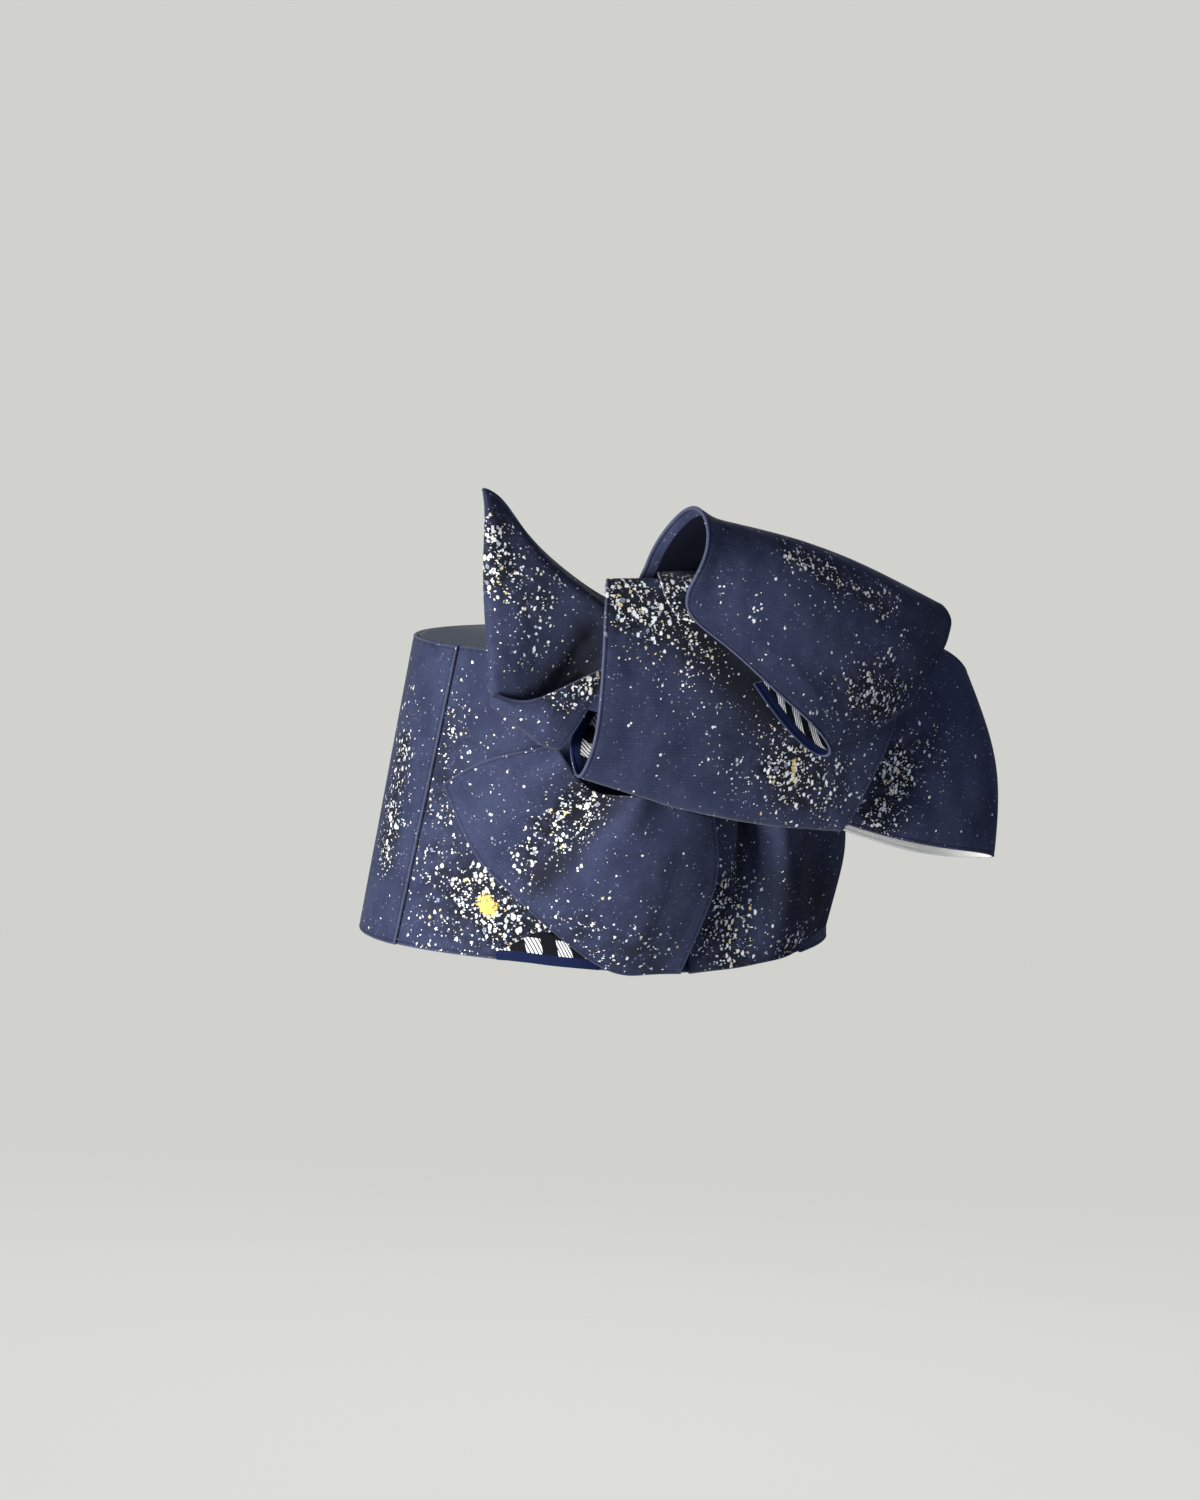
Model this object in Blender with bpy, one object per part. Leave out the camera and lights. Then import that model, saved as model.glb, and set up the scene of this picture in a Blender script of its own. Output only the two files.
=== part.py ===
"""A narrow reversible obi sash, wound on and tied in an asymmetric bow, held open as it is worn.

Left is the wearer's left (+X), out is away from the wearer's back (+Y), up is +Z.
The origin is the middle of the waist, half-way up the wound band.
"""

import bmesh
import bpy
import numpy as np

MM = 0.001

# Driving sizes, in metres.
SASH_WIDTH = 0.168
CLOTH = 0.0018
LAYER_GAP = 0.0006
LOWER_WAIST = (0.138, 0.100)
UPPER_WAIST = (0.120, 0.088)
UPPER_SHIFT = 0.012
HEM_DIP = 0.006
DIP_SHARPNESS = 6
LOWEST_HEM = -0.084

# The outer turn of the band starts on the wearer's left and ends hidden under the bow's right.
OUTER_START_DEG = 11.0
OUTER_END_DEG = -232.0
OUTER_LEAN_DEG = 5.0
FIRST_TURN_STEP_DEG = 6.0
OUTER_TURN_SECTIONS = 42
BAND_STEPS_UP = 5

# The knot is a tight bundle of folded layers.
KNOT_CENTRE = (0.035, 0.122, 0.066)
KNOT_HALF = (0.030, 0.0155, 0.040)
KNOT_SQUARENESS = 3.2
KNOT_SUBDIVISIONS = 3

NAVY = (0.020, 0.026, 0.075, 1.0)
NAVY_DEEP = (0.014, 0.018, 0.055, 1.0)
REVERSE_BLUE = (0.012, 0.035, 0.140, 1.0)

# Each row is a section across the strip: its place, then (left, out, up) in millimetres at
# the first hem, at the middle and at the second hem. Rows follow the strip's length.
KNOT_WRAP = (
    ("turned over the knot", (88, 141, 125), (10, 146, 123), (-78, 149, 104)),
    ("top crest", (91, 147, 131), (8, 152, 129), (-82, 153, 110)),
    ("below the crest", (95, 154, 119), (6, 159, 114), (-88, 156, 95)),
    ("upper front", (97, 158, 96), (4, 164, 88), (-92, 157, 74)),
    ("lower front", (98, 159, 67), (5, 166, 56), (-86, 158, 44)),
    ("above the fold", (100, 157, 43), (9, 164, 28), (-72, 160, 18)),
    ("bottom fold", (103, 150, 28), (15, 157, 6), (-60, 157, -3)),
    ("back of the fold", (102, 142, 32), (15, 149, 9), (-59, 150, 3)),
    ("back leaf", (102, 139, 46), (14, 145, 26), (-64, 146, 22)),
    ("end of the back leaf", (95, 141, 62), (12, 144, 44), (-68, 146, 40)),
)
UPPER_LOOP = (
    ("tucked behind the knot", (70, 137, 121), (-10, 139, 113), (-86, 141, 98)),
    ("back leaf", (65, 141, 136), (-14, 143, 132), (-97, 146, 106)),
    ("below the top", (59, 145, 151), (-18, 152, 147), (-106, 154, 117)),
    ("top fold", (53, 156, 165), (-21, 168, 153), (-110, 163, 121)),
    ("in front of the top", (53, 173, 166), (-25, 183, 144), (-112, 171, 115)),
    ("front leaf", (58, 186, 148), (-30, 189, 126), (-111, 173, 108)),
    ("corner of the hem", (63, 182, 122), (-34, 191, 111), (-109, 173, 101)),
    ("hem turns in", (42, 187, 102), (-40, 191, 96), (-106, 172, 94)),
    ("middle of the slant", (12, 193, 78), (-49, 189, 80), (-101, 171, 84)),
    ("lower front", (-14, 192, 59), (-57, 185, 65), (-96, 169, 74)),
    ("bottom fold", (-32, 182, 43), (-62, 176, 53), (-91, 165, 65)),
    ("under the fold", (-29, 176, 41), (-59, 170, 54), (-87, 161, 68)),
    ("under leaf", (-10, 173, 55), (-47, 168, 68), (-82, 161, 80)),
    ("end of the under leaf", (12, 172, 79), (-28, 169, 88), (-74, 162, 93)),
)
RIGHT_WING = (
    ("beside the knot", (-4, 130, 98), (-4, 131, 60), (-8, 130, 24)),
    ("under the wrap", (-45, 132, 100), (-45, 135, 55), (-48, 136, 6)),
    ("fullest", (-92, 132, 100), (-98, 140, 50), (-96, 139, -9)),
    ("outer half", (-132, 131, 95), (-142, 138, 38), (-140, 136, -18)),
    ("before the fold", (-153, 127, 84), (-172, 131, 30), (-173, 130, -23)),
    ("outer fold", (-159, 121, 78), (-183, 121, 26), (-187, 121, -27)),
    ("behind the fold", (-153, 115, 82), (-171, 112, 28), (-175, 113, -28)),
    ("back leaf", (-128, 114, 93), (-140, 111, 34), (-139, 114, -24)),
    ("end of the back leaf", (-62, 119, 97), (-72, 117, 45), (-74, 119, -6)),
)
LEFT_EAR = (
    ("behind the wrap", (72, 121, 117), (72, 131, 110), (71, 132, 101), (71, 128, 88), (70, 119, 78)),
    ("beside the knot", (84, 119, 123), (84, 132, 116), (84, 132, 105), (84, 126, 88), (82, 115, 76)),
    ("first third", (103, 114, 136), (103, 126, 129), (105, 131, 108), (101, 124, 76), (97, 111, 64)),
    ("second third", (123, 111, 154), (123, 123, 145), (126, 131, 110), (122, 128, 65), (120, 113, 56)),
    ("near the point", (138, 109, 171), (138, 119, 159), (142, 129, 116), (140, 131, 68), (138, 119, 65)),
    ("outer fold", (147, 110, 175), (149, 119, 163), (149, 123, 122), (147, 131, 75), (145, 122, 73)),
    ("behind the fold", (140, 105, 171), (141, 110, 160), (143, 115, 120), (142, 123, 78), (141, 119, 76)),
    ("end of the back leaf", (111, 105, 140), (111, 108, 132), (112, 112, 114), (113, 112, 84), (113, 108, 79)),
)
EAR_LIP = (
    ("left corner", (148, 134, 70), (149, 135, 68), (148, 133, 65), (146, 130, 63)),
    ("rim rises", (131, 142, 67), (133, 144, 61), (133, 140, 55), (130, 132, 52)),
    ("fullest", (115, 150, 75), (121, 151, 59), (123, 145, 46), (119, 130, 46)),
    ("hem beside the wrap", (91, 150, 85), (99, 152, 66), (112, 147, 43), (107, 130, 48)),
)
LEFT_TAIL = (
    ("upper hem", (93, 108, 38), (112, 80, 29), (121, 59, 19), (128, 46, 9)),
    ("flat against the band", (90, 118, 28), (104, 94, 8), (111, 78, -8), (117, 66, -26)),
    ("valley", (68, 109, 13), (86, 96, -11), (97, 85, -29), (104, 77, -43)),
    ("ridge", (60, 136, 14), (76, 121, -15), (86, 106, -41), (87, 93, -61)),
    ("full lobe", (46, 138, 12), (50, 134, -24), (50, 120, -58), (52, 104, -86)),
    ("right of the lobe", (26, 138, 6), (24, 132, -30), (26, 118, -62), (28, 107, -89)),
    ("right hem", (8, 134, 2), (-1, 127, -30), (0, 116, -60), (8, 109, -89)),
)
RIGHT_TAIL = (
    ("under the left tail", (4, 114, 0), (3, 110, -32), (3, 107, -60), (0, 105, -90)),
    ("flat", (-14, 119, -1), (-14, 113, -32), (-14, 107, -60), (-14, 105, -89)),
    ("slot", (-26, 104, -2), (-31, 104, -24), (-34, 104, -54), (-32, 104, -88)),
    ("ridge", (-36, 129, -3), (-44, 119, -27), (-51, 109, -55), (-50, 102, -86)),
    ("right of the ridge", (-58, 118, -2), (-66, 109, -28), (-72, 101, -55), (-72, 94, -84)),
    ("nearly flat", (-86, 106, -4), (-92, 96, -28), (-93, 90, -52), (-90, 85, -77)),
    ("right hem", (-104, 92, -8), (-111, 83, -28), (-109, 80, -50), (-106, 77, -71)),
)
KNOT_FOLD = (
    ("inside the loop", (62, 150, 135), (47, 151, 136), (30, 152, 136)),
    ("over the top", (65, 159, 131), (48, 162, 132), (30, 163, 130)),
    ("front", (64, 166, 121), (48, 170, 120), (30, 171, 117)),
    ("under the loop", (58, 169, 113), (44, 172, 110), (28, 173, 107)),
)
TURN_BACK = (
    ("left point", (104, 73, -80), (104, 73, -82), (103, 73, -84)),
    ("left side", (95, 80, -73), (94, 81, -79), (93, 81, -84)),
    ("top", (83, 88, -67), (82, 89, -76), (81, 89, -85)),
    ("right side", (68, 95, -74), (67, 96, -80), (66, 96, -86)),
    ("right point", (54, 99, -83), (54, 99, -85), (54, 99, -87)),
)

# Name, table, rows of faces along and across, colour.
PIECES = (
    ("knot_wrap", KNOT_WRAP, 26, 9, NAVY),
    ("loop_upper", UPPER_LOOP, 32, 9, NAVY),
    ("wing_right", RIGHT_WING, 24, 8, NAVY),
    ("ear_left", LEFT_EAR, 18, 10, NAVY),
    ("ear_lip", EAR_LIP, 8, 9, NAVY),
    ("tail_left", LEFT_TAIL, 20, 11, NAVY),
    ("tail_right", RIGHT_TAIL, 20, 10, NAVY_DEEP),
    ("knot_fold", KNOT_FOLD, 8, 6, NAVY),
    ("tail_turn_back", TURN_BACK, 10, 4, REVERSE_BLUE),
)


def clear_scene():
    """Remove every object that the scene starts with."""
    for obj in list(bpy.data.objects):
        bpy.data.objects.remove(obj)


def cloth_material(name, colour):
    """A matte woven cotton in one plain colour."""
    material = bpy.data.materials.new(name)
    material.use_nodes = True
    shader = material.node_tree.nodes["Principled BSDF"]
    shader.inputs["Base Color"].default_value = colour
    shader.inputs["Roughness"].default_value = 0.85
    shader.inputs["Metallic"].default_value = 0.0
    return material


def spline(points, count):
    """Points evenly spaced in parameter on the natural cubic spline through points.

    points is (knots, columns, 3). All columns share one parameter: the root of the mean
    distance between neighbouring rows, which keeps tight folds from overshooting.
    """
    points = np.asarray(points, float)
    steps = np.sqrt(np.linalg.norm(np.diff(points, axis=0), axis=2).mean(axis=1))
    knots = np.concatenate([[0.0], np.cumsum(steps)])
    size = len(knots)
    system = np.eye(size)
    right = np.zeros_like(points)
    for i in range(1, size - 1):
        before = knots[i] - knots[i - 1]
        after = knots[i + 1] - knots[i]
        system[i, i - 1 : i + 2] = before, 2 * (before + after), after
        slope_after = (points[i + 1] - points[i]) / after
        slope_before = (points[i] - points[i - 1]) / before
        right[i] = 6 * (slope_after - slope_before)
    bend = np.linalg.solve(system, right.reshape(size, -1)).reshape(points.shape)
    at = np.linspace(0.0, knots[-1], count)
    span = np.clip(np.searchsorted(knots, at, side="right") - 1, 0, size - 2)
    width = (knots[span + 1] - knots[span])[:, None, None]
    b = (at - knots[span])[:, None, None] / width
    a = 1.0 - b
    curve = a * points[span] + b * points[span + 1]
    curve += ((a**3 - a) * bend[span] + (b**3 - b) * bend[span + 1]) * width**2 / 6
    return curve


def sheet_points(table, along, across):
    """The grid of a strip: a spline through its sections, then a spline across each."""
    sections = np.array([row[1:] for row in table], float) * MM
    lengthwise = spline(sections, along + 1)
    return spline(lengthwise.transpose(1, 0, 2), across + 1).transpose(1, 0, 2)


def grid_object(name, points, colour, closed=False):
    """A cloth wall on a grid of points, which Solidify thickens by half to each side."""
    rows, columns = points.shape[:2]
    mesh = bpy.data.meshes.new(name)
    work = bmesh.new()
    verts = [[work.verts.new(p) for p in row] for row in points]
    for i in range(rows if closed else rows - 1):
        near = verts[i]
        far = verts[(i + 1) % rows]
        for j in range(columns - 1):
            work.faces.new((near[j], far[j], far[j + 1], near[j + 1]))
    bmesh.ops.recalc_face_normals(work, faces=work.faces)
    work.to_mesh(mesh)
    work.free()
    mesh.shade_smooth()
    mesh.materials.append(cloth_material(name + "_cloth", colour))
    obj = bpy.data.objects.new(name, mesh)
    bpy.context.scene.collection.objects.link(obj)
    wall = obj.modifiers.new("Cloth", "SOLIDIFY")
    wall.thickness = CLOTH
    wall.offset = 0.0
    return obj


def band_points(angles, layer, lean=0.0):
    """Part of the wound band: an oval cone round the waist, layer metres out from the first turn.

    Its lower hem dips a little behind, where the bow weighs on it. lean is how far round the
    first section's top lies beyond its foot, in radians, and it fades to the last section.
    """
    grid = np.empty((len(angles), BAND_STEPS_UP + 1, 3))
    fade = np.linspace(1.0, 0.0, len(angles))
    for j in range(BAND_STEPS_UP + 1):
        share = j / BAND_STEPS_UP
        turned = angles + lean * fade * share
        half_x = LOWER_WAIST[0] + (UPPER_WAIST[0] - LOWER_WAIST[0]) * share + layer
        half_y = LOWER_WAIST[1] + (UPPER_WAIST[1] - LOWER_WAIST[1]) * share + layer
        grid[:, j, 0] = half_x * np.cos(turned)
        grid[:, j, 1] = half_y * np.sin(turned) + UPPER_SHIFT * share
        behind = np.maximum(np.sin(turned), 0.0) ** DIP_SHARPNESS
        grid[:, j, 2] = LOWEST_HEM + SASH_WIDTH * share - HEM_DIP * behind * (1 - share)
    return grid


def make_band():
    """The first turn, all round, and the outer turn, open under the bow."""
    middle = CLOTH / 2
    whole = np.radians(np.arange(0.0, 360.0, FIRST_TURN_STEP_DEG))
    grid_object("band_inner", band_points(whole, middle), NAVY, closed=True)
    part = np.radians(np.linspace(OUTER_START_DEG, OUTER_END_DEG, OUTER_TURN_SECTIONS))
    over_first = middle + CLOTH + LAYER_GAP
    outer = band_points(part, over_first, np.radians(OUTER_LEAN_DEG))
    grid_object("band_outer", outer, NAVY)


def make_knot():
    """The knot: a rounded block, a superellipsoid, for its tightly folded layers."""
    mesh = bpy.data.meshes.new("knot")
    work = bmesh.new()
    bmesh.ops.create_icosphere(work, subdivisions=KNOT_SUBDIVISIONS, radius=1.0)
    power = 2.0 / KNOT_SQUARENESS
    for vert in work.verts:
        size = sum(abs(c) ** KNOT_SQUARENESS for c in vert.co) ** (1 / KNOT_SQUARENESS)
        vert.co = [
            centre + half * c / size
            for centre, half, c in zip(KNOT_CENTRE, KNOT_HALF, vert.co)
        ]
    work.to_mesh(mesh)
    work.free()
    mesh.shade_smooth()
    mesh.materials.append(cloth_material("knot_cloth", NAVY_DEEP))
    obj = bpy.data.objects.new("knot", mesh)
    bpy.context.scene.collection.objects.link(obj)


def main():
    clear_scene()
    make_band()
    make_knot()
    for name, table, along, across, colour in PIECES:
        grid_object(name, sheet_points(table, along, across), colour)


main()
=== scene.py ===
"""Looks for a narrow reversible obi sash, wound on and tied in an asymmetric bow.

Each stretch of cloth is a closed shell on a table of sections, with stitched hems and soft
creases, a navy face under a scattered fleck print, and a checked reverse.
Left is the wearer's left (+X), out is behind the wearer (+Y), up is +Z. Tables are in
millimetres, and Blender's own values in metres.
"""

import math

import bpy
import numpy as np
from mathutils import Matrix, Vector


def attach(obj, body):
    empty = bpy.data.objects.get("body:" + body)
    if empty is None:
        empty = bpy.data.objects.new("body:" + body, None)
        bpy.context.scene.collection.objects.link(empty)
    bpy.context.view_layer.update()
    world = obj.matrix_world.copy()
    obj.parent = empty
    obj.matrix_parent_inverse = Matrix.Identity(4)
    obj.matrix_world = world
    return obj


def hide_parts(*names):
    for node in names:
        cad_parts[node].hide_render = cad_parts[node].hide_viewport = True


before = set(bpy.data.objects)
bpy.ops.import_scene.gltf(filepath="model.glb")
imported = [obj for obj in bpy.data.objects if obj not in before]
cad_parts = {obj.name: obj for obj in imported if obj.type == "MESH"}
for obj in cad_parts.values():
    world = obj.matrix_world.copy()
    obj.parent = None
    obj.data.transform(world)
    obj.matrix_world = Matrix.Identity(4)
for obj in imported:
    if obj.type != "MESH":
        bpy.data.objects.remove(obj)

bl_info = {
    "name": "Obi sash looks",
    "blender": (4, 5, 0),
    "version": (1, 0, 0),
    "location": "3D View > Sidebar > Obi",
    "description": "Builds the cloth of a tied obi sash and its studio stage",
    "category": "Object",
}

MM = 0.001
SASH_WIDTH = 0.168

# The wound band: half widths of the oval at the lower and upper hem, in metres.
LOWER_WAIST = (0.138, 0.100)
UPPER_WAIST = (0.120, 0.088)
UPPER_SHIFT = 0.012
LOWEST_HEM = -0.084
HEM_DIP = 0.006
DIP_SHARPNESS = 6
CLOTH = 0.0018
LAYER_GAP = 0.0006
OUTER_START_DEG = 11.0
OUTER_END_DEG = -232.0
OUTER_LEAN_DEG = 5.0

KNOT_CENTRE = (0.035, 0.122, 0.066)
KNOT_HALF = (0.030, 0.0155, 0.040)
KNOT_SQUARENESS = 3.2
KNOT_RINGS = 70
KNOT_AROUND = 120
# Millimetres to a hem that the hemless knot reports to its material.
FAR_FROM_HEM = 99.0

# The view: azimuth, elevation and roll in degrees, distance and aim (right, up) in metres,
# and the lens in millimetres.
VIEW_TURN = (150.0, 7.0, 3.3)
VIEW_DISTANCE = 2.3
VIEW_AIM = (-0.0035, 0.020)
VIEW_LENS = 96.84

# Spacing of the band's mesh: rings round the first turn, millimetres along the outer turn and
# up both, and the outer turn's length in millimetres. Then the floor's segments.
FIRST_TURN_ROWS = 300
OUTER_STEP = 2.4
BAND_STEP_UP = 3.0
OUTER_LENGTH = 500
FLOOR_AROUND = 96

# Each row is a section across the strip: its place, then (left, out, up) at the first hem
# and so on to the second hem. Rows follow the strip's length.
KNOT_WRAP = (
    ("turned over the knot", (88, 141, 125), (10, 146, 123), (-78, 149, 104)),
    ("top crest", (91, 147, 131), (8, 152, 129), (-82, 153, 110)),
    ("below the crest", (95, 154, 119), (6, 159, 114), (-88, 156, 95)),
    ("upper front", (97, 158, 96), (4, 164, 88), (-92, 157, 74)),
    ("lower front", (98, 159, 67), (5, 166, 56), (-86, 158, 44)),
    ("above the fold", (100, 157, 43), (9, 164, 28), (-72, 160, 18)),
    ("bottom fold", (103, 150, 28), (15, 157, 6), (-60, 157, -3)),
    ("back of the fold", (102, 142, 32), (15, 149, 9), (-59, 150, 3)),
    ("back leaf", (102, 139, 46), (14, 145, 26), (-64, 146, 22)),
    ("end of the back leaf", (95, 141, 62), (12, 144, 44), (-68, 146, 40)),
)
UPPER_LOOP = (
    ("tucked behind the knot", (70, 137, 121), (-10, 139, 113), (-86, 141, 98)),
    ("back leaf", (65, 141, 136), (-14, 143, 132), (-97, 146, 106)),
    ("below the top", (59, 145, 151), (-18, 152, 147), (-106, 154, 117)),
    ("top fold", (53, 156, 165), (-21, 168, 153), (-110, 163, 121)),
    ("in front of the top", (53, 173, 166), (-25, 183, 144), (-112, 171, 115)),
    ("front leaf", (58, 186, 148), (-30, 189, 126), (-111, 173, 108)),
    ("corner of the hem", (63, 182, 122), (-34, 191, 111), (-109, 173, 101)),
    ("hem turns in", (42, 187, 102), (-40, 191, 96), (-106, 172, 94)),
    ("middle of the slant", (12, 193, 78), (-49, 189, 80), (-101, 171, 84)),
    ("lower front", (-14, 192, 59), (-57, 185, 65), (-96, 169, 74)),
    ("bottom fold", (-32, 182, 43), (-62, 176, 53), (-91, 165, 65)),
    ("under the fold", (-29, 176, 41), (-59, 170, 54), (-87, 161, 68)),
    ("under leaf", (-10, 173, 55), (-47, 168, 68), (-82, 161, 80)),
    ("end of the under leaf", (12, 172, 79), (-28, 169, 88), (-74, 162, 93)),
)
RIGHT_WING = (
    ("beside the knot", (-4, 130, 98), (-4, 131, 60), (-8, 130, 24)),
    ("under the wrap", (-45, 132, 100), (-45, 135, 55), (-48, 136, 6)),
    ("fullest", (-92, 132, 100), (-98, 140, 50), (-96, 139, -9)),
    ("outer half", (-132, 131, 95), (-142, 138, 38), (-140, 136, -18)),
    ("before the fold", (-153, 127, 84), (-172, 131, 30), (-173, 130, -23)),
    ("outer fold", (-159, 121, 78), (-183, 121, 26), (-187, 121, -27)),
    ("behind the fold", (-153, 115, 82), (-171, 112, 28), (-175, 113, -28)),
    ("back leaf", (-128, 114, 93), (-140, 111, 34), (-139, 114, -24)),
    ("end of the back leaf", (-62, 119, 97), (-72, 117, 45), (-74, 119, -6)),
)
LEFT_EAR = (
    ("behind the wrap", (72, 121, 117), (72, 131, 110), (71, 132, 101), (71, 128, 88), (70, 119, 78)),
    ("beside the knot", (84, 119, 123), (84, 132, 116), (84, 132, 105), (84, 126, 88), (82, 115, 76)),
    ("first third", (103, 114, 136), (103, 126, 129), (105, 131, 108), (101, 124, 76), (97, 111, 64)),
    ("second third", (123, 111, 154), (123, 123, 145), (126, 131, 110), (122, 128, 65), (120, 113, 56)),
    ("near the point", (138, 109, 171), (138, 119, 159), (142, 129, 116), (140, 131, 68), (138, 119, 65)),
    ("outer fold", (147, 110, 175), (149, 119, 163), (149, 123, 122), (147, 131, 75), (145, 122, 73)),
    ("behind the fold", (140, 105, 171), (141, 110, 160), (143, 115, 120), (142, 123, 78), (141, 119, 76)),
    ("back leaf's end", (111, 105, 140), (111, 108, 132), (112, 112, 114), (113, 112, 84), (113, 108, 79)),
)
EAR_LIP = (
    ("left corner", (148, 134, 70), (149, 135, 68), (148, 133, 65), (146, 130, 63)),
    ("rim rises", (131, 142, 67), (133, 144, 61), (133, 140, 55), (130, 132, 52)),
    ("fullest", (115, 150, 75), (121, 151, 59), (123, 145, 46), (119, 130, 46)),
    ("hem beside the wrap", (91, 150, 85), (99, 152, 66), (112, 147, 43), (107, 130, 48)),
)
LEFT_TAIL = (
    ("upper hem", (93, 108, 38), (112, 80, 29), (121, 59, 19), (128, 46, 9)),
    ("flat against the band", (90, 118, 28), (104, 94, 8), (111, 78, -8), (117, 66, -26)),
    ("valley", (68, 109, 13), (86, 96, -11), (97, 85, -29), (104, 77, -43)),
    ("ridge", (60, 136, 14), (76, 121, -15), (86, 106, -41), (87, 93, -61)),
    ("full lobe", (46, 138, 12), (50, 134, -24), (50, 120, -58), (52, 104, -86)),
    ("right of the lobe", (26, 138, 6), (24, 132, -30), (26, 118, -62), (28, 107, -89)),
    ("right hem", (8, 134, 2), (-1, 127, -30), (0, 116, -60), (8, 109, -89)),
)
RIGHT_TAIL = (
    ("under the left tail", (4, 114, 0), (3, 110, -32), (3, 107, -60), (0, 105, -90)),
    ("flat", (-14, 119, -1), (-14, 113, -32), (-14, 107, -60), (-14, 105, -89)),
    ("slot", (-26, 104, -2), (-31, 104, -24), (-34, 104, -54), (-32, 104, -88)),
    ("ridge", (-36, 129, -3), (-44, 119, -27), (-51, 109, -55), (-50, 102, -86)),
    ("right of the ridge", (-58, 118, -2), (-66, 109, -28), (-72, 101, -55), (-72, 94, -84)),
    ("nearly flat", (-86, 106, -4), (-92, 96, -28), (-93, 90, -52), (-90, 85, -77)),
    ("right hem", (-104, 92, -8), (-111, 83, -28), (-109, 80, -50), (-106, 77, -71)),
)
KNOT_FOLD = (
    ("inside the loop", (62, 150, 135), (47, 151, 136), (30, 152, 136)),
    ("over the top", (65, 159, 131), (48, 162, 132), (30, 163, 130)),
    ("front", (64, 166, 121), (48, 170, 120), (30, 171, 117)),
    ("under the loop", (58, 169, 113), (44, 172, 110), (28, 173, 107)),
)
TURN_BACK = (
    ("left point", (104, 73, -80), (104, 73, -82), (103, 73, -84)),
    ("left side", (95, 80, -73), (94, 81, -79), (93, 81, -84)),
    ("top", (83, 88, -67), (82, 89, -76), (81, 89, -85)),
    ("right side", (68, 95, -74), (67, 96, -80), (66, 96, -86)),
    ("right point", (54, 99, -83), (54, 99, -85), (54, 99, -87)),
)

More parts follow.
